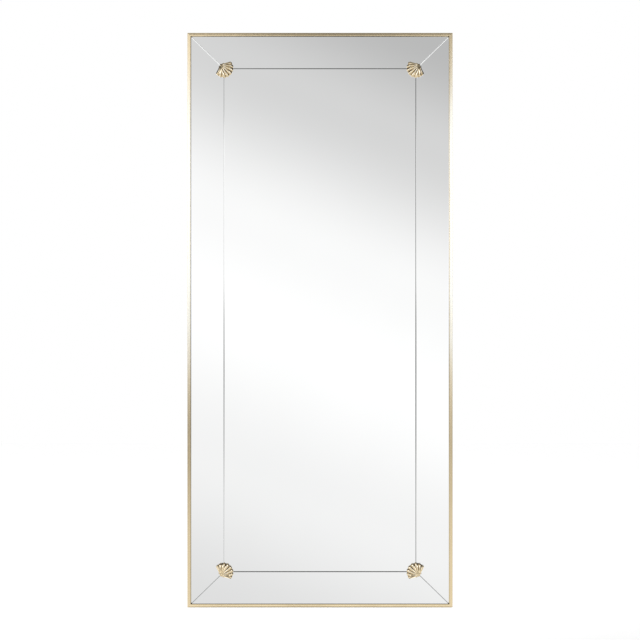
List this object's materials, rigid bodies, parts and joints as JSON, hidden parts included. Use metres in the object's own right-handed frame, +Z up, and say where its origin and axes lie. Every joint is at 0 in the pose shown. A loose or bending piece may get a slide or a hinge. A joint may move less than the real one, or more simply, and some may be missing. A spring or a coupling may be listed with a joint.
{
  "type": "wall mirror",
  "caption": "Tall rectangular mirror in a slim brass tube frame, with mitred mirror borders and a cast scallop shell over each inner corner, hung from D-rings.",
  "frame": {"origin": "middle of the mirror's outline, on the plane of the wall that the bumpers touch", "axes": "+Z up along the height, +Y into the wall, so the glass faces -Y, and +X to the right of someone who looks into the mirror"},
  "size_m": [0.9, 0.0395, 1.95],
  "materials": {
    "frame_brass": "satin brushed along each rail",
    "cast_brass": "cast and polished",
    "mirror_glass": "silvered float glass, narrow polished bevel",
    "painted_board": "fibreboard, painted black",
    "foam_tape": "double-sided foam",
    "zinc_steel": "zinc plated",
    "screw_steel": "zinc plated, slightly yellow",
    "black_rubber": "matt",
    "clear_pad": "soft silicone"
  },
  "bodies": {
    "mirror": {"frame_top_rail": "frame_brass", "frame_bottom_rail": "frame_brass", "frame_left_stile": "frame_brass", "frame_right_stile": "frame_brass", "corner_key_top_left": "zinc_steel", "corner_key_top_right": "zinc_steel", "corner_key_bottom_left": "zinc_steel", "corner_key_bottom_right": "zinc_steel", "corner_key_screws": "screw_steel", "centre_mirror": "mirror_glass", "top_border_mirror": "mirror_glass", "bottom_border_mirror": "mirror_glass", "left_border_mirror": "mirror_glass", "right_border_mirror": "mirror_glass", "mounting_tape": "foam_tape", "backing_board": "painted_board", "setting_blocks": "black_rubber", "board_brackets": "zinc_steel", "bracket_frame_screws": "screw_steel", "bracket_board_screws": "screw_steel", "shell_top_left": "cast_brass", "shell_top_right": "cast_brass", "shell_bottom_left": "cast_brass", "shell_bottom_right": "cast_brass", "shell_pads": "clear_pad", "shell_studs": "screw_steel", "shell_washers": "zinc_steel", "shell_nuts": "screw_steel", "hanger_strap_left": "zinc_steel", "hanger_strap_right": "zinc_steel", "hanger_screws": "screw_steel", "wall_bumpers": "black_rubber"},
    "ring_left": {"hanger_ring_left": "zinc_steel"},
    "ring_right": {"hanger_ring_right": "zinc_steel"}
  },
  "joints": [
    {"name": "hanger_ring_left_swing", "type": "hinge", "parent": "mirror", "child": "ring_left", "pos_m": [-0.346, -0.0082, 0.6], "axis": [1, 0, 0], "range_deg": [0, 180]},
    {"name": "hanger_ring_right_swing", "type": "hinge", "parent": "mirror", "child": "ring_right", "pos_m": [0.346, -0.0082, 0.6], "axis": [1, 0, 0], "range_deg": [0, 180]}
  ]
}
